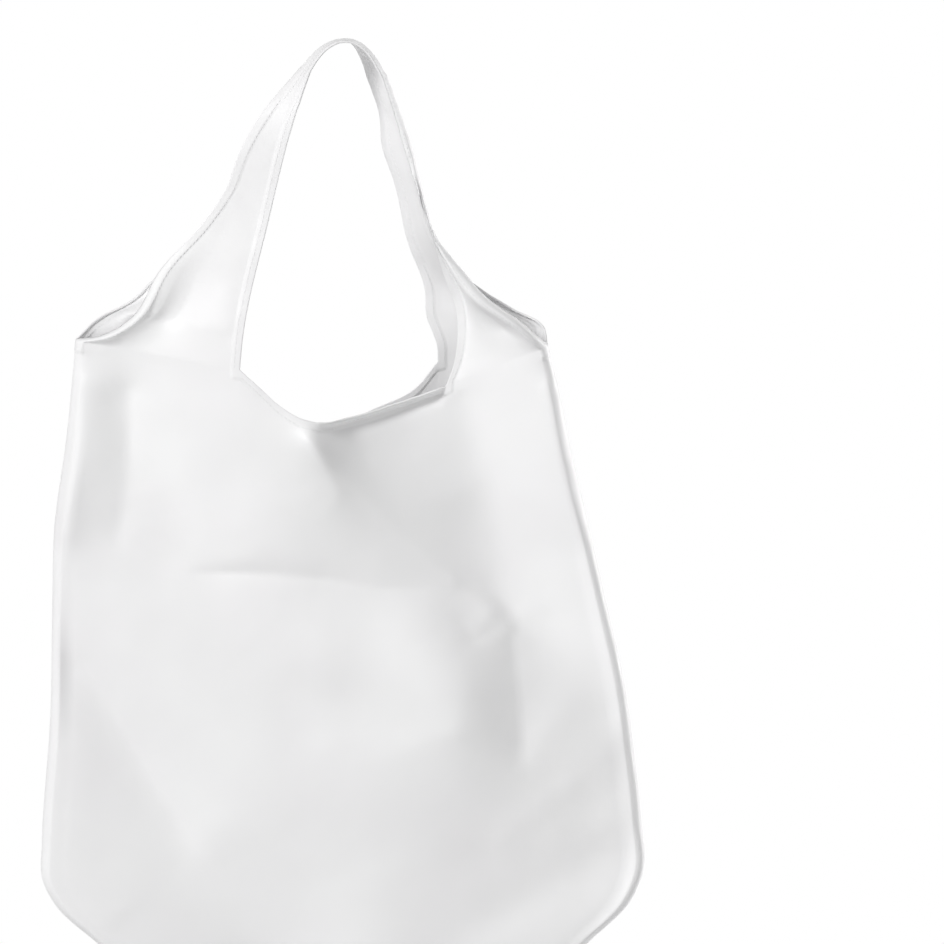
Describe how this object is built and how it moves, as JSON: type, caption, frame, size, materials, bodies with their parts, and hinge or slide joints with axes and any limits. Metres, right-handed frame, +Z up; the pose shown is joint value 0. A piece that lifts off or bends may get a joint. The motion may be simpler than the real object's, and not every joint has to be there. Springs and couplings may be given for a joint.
{
  "type": "carrier bag",
  "caption": "Soft vest-shaped carrier bag hanging open from the middle of its looped handle, with a wide rounded mouth, hemmed edges, open armholes and boxed bottom corners.",
  "frame": {"origin": "under the middle of the handle's arch, where a finger or a hook carries the hanging bag", "axes": "+Z up along the hanging bag, -Y out of its front panel, +X to the right seen from the front"},
  "size_m": [0.3833, 0.0939, 0.6113],
  "materials": {
    "cloth": "smooth thin synthetic cloth with a faint satin sheen, slightly see-through, white"
  },
  "bodies": {
    "root": {"bag": "cloth"}
  },
  "joints": []
}
